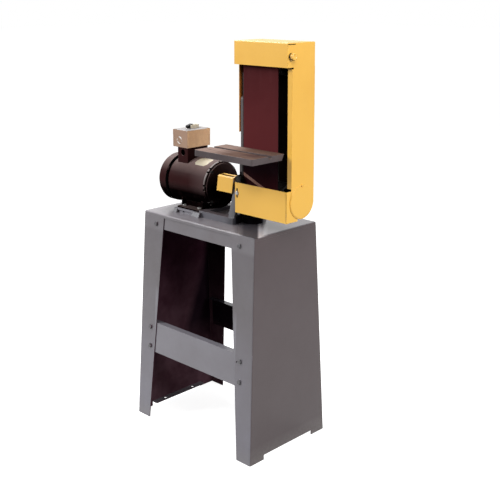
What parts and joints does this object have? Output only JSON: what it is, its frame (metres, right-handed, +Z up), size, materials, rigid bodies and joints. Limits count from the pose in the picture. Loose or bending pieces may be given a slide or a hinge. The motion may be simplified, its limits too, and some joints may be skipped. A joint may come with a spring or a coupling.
{
  "type": "stationary belt sander on a stand",
  "caption": "Upright belt sander with a tilting sanding head, a tilting work table and a direct-coupled motor with a switch box, on a splayed sheet-steel stand.",
  "frame": {"origin": "on the floor under the middle of the whole machine's box", "axes": "+X to the right seen from the front, from the motor to the sanding head; +Y to the back; +Z up"},
  "size_m": [0.6382, 0.386, 1.3666],
  "materials": {
    "stand_enamel": "semi-gloss grey enamel",
    "base_enamel": "semi-gloss grey enamel on a casting",
    "yellow_enamel": "semi-gloss yellow enamel",
    "motor_enamel": "satin dark brown enamel",
    "box_enamel": "tan enamel on sheet metal",
    "lid_metal": "pale grey enamel",
    "plate_blank": "blank plate, satin",
    "cream_plastic": "cream moulding",
    "black_plastic": "black moulding",
    "zinc_steel": "zinc-plated steel",
    "dark_steel": "blackened steel",
    "bright_steel": "ground steel",
    "bearing_steel": "polished bearing steel",
    "core_steel": "stacked laminations",
    "copper_winding": "varnished copper wire",
    "drum_aluminium": "turned aluminium",
    "black_rubber": "moulded rubber",
    "table_iron": "ground top with grey enamel sides",
    "arm_iron": "grey enamel on cast iron",
    "abrasive": "maroon abrasive grain on cloth"
  },
  "bodies": {
    "base": {"stand_top": "stand_enamel", "left_end_panel": "stand_enamel", "right_end_panel": "stand_enamel", "front_stretcher": "stand_enamel", "rear_stretcher": "stand_enamel", "stand_bolts": "stand_enamel", "base_casting": "base_enamel", "base_bolts": "zinc_steel", "motor_feet": "motor_enamel", "motor_mount_bolts": "zinc_steel", "motor_shell": "motor_enamel", "motor_front_bell": "motor_enamel", "motor_rear_bell": "motor_enamel", "fan_cover": "motor_enamel", "stator_core": "core_steel", "stator_windings": "copper_winding", "shaft_bearings": "bearing_steel", "through_bolts": "dark_steel", "rating_plate": "plate_blank", "conduit_box": "motor_enamel", "switch_box": "box_enamel", "switch_lid": "lid_metal", "lid_screws": "zinc_steel", "switch_bezel": "cream_plastic", "coupling_guard": "yellow_enamel", "upright_screws": "zinc_steel", "lower_cover": "yellow_enamel", "lower_cover_bracket": "dark_steel", "lower_cover_bolt": "zinc_steel"},
    "drive": {"rotor": "bright_steel", "cooling_fan": "black_plastic", "motor_coupling_hub": "dark_steel", "coupling_spider": "black_rubber", "arbor_coupling_hub": "dark_steel", "arbor_shaft": "bright_steel", "drive_drum": "drum_aluminium", "drum_lagging": "black_rubber", "drum_nut": "zinc_steel"},
    "head": {"tilt_arm": "arm_iron", "tilt_clamp_bolt": "zinc_steel", "platen": "dark_steel", "slide_keepers": "bright_steel", "arm_screws": "zinc_steel", "tension_spring": "dark_steel", "abrasive_belt": "abrasive", "rear_cover": "yellow_enamel", "cover_straps": "dark_steel", "table_leg": "arm_iron"},
    "idler_carriage": {"tension_slide": "bright_steel", "idler_axle": "bright_steel", "idler_bearings": "bearing_steel"},
    "idler": {"idler_drum": "drum_aluminium"},
    "tracking_knob": {"tracking_knob": "black_plastic"},
    "belt_cover": {"belt_cover": "yellow_enamel", "cover_screw": "yellow_enamel"},
    "cover_knob": {"cover_knob": "yellow_enamel"},
    "table": {"work_table": "table_iron", "table_pivot_bolt": "zinc_steel"},
    "table_knob": {"table_knob": "black_plastic"},
    "toggle": {"toggle_lever": "black_plastic"}
  },
  "joints": [
    {"name": "drive_spin", "type": "hinge", "parent": "base", "child": "drive", "pos_m": [-0.03355, 0.007, 0.86], "axis": [1, 0, 0], "continuous": true},
    {"name": "head_tilt", "type": "hinge", "parent": "base", "child": "head", "pos_m": [-0.03355, 0.007, 0.86], "axis": [-1, 0, 0], "range_deg": [0, 90]},
    {"name": "idler_tension", "type": "slide", "parent": "head", "child": "idler_carriage", "axis": [0, 0, 1], "range_m": [-0.01, 0], "stiffness_N_per_m": 4000, "springref_m": 0.03, "deforming": ["tension_spring"]},
    {"name": "idler_spin", "type": "hinge", "parent": "idler_carriage", "child": "idler", "pos_m": [-0.03355, 0.007, 1.30906], "axis": [1, 0, 0], "continuous": true},
    {"name": "tracking_turn", "type": "hinge", "parent": "idler_carriage", "child": "tracking_knob", "pos_m": [-0.03355, 0.007, 1.27906], "axis": [-1, 0, 0], "range_deg": [-180, 180]},
    {"name": "cover_off", "type": "slide", "parent": "head", "child": "belt_cover", "axis": [1, 0, 0], "range_m": [0, 0.25]},
    {"name": "cover_knob_turn", "type": "hinge", "parent": "belt_cover", "child": "cover_knob", "pos_m": [0.30305, -0.05, 1.32496], "axis": [1, 0, 0], "range_deg": [0, 360]},
    {"name": "table_tilt", "type": "hinge", "parent": "head", "child": "table", "pos_m": [0.0822, -0.061, 0.98], "axis": [1, 0, 0], "range_deg": [0, 45]},
    {"name": "table_knob_turn", "type": "hinge", "parent": "head", "child": "table_knob", "pos_m": [0.0822, -0.047, 0.91], "axis": [0, -1, 0], "range_deg": [0, 360]},
    {"name": "switch_throw", "type": "hinge", "parent": "base", "child": "toggle", "pos_m": [-0.22855, 0.014, 1.0508], "axis": [-1, 0, 0], "range_deg": [0, 55]}
  ],
  "couplings": [
    {"joint": "idler_spin", "follows": "drive_spin", "ratio": 1}
  ]
}
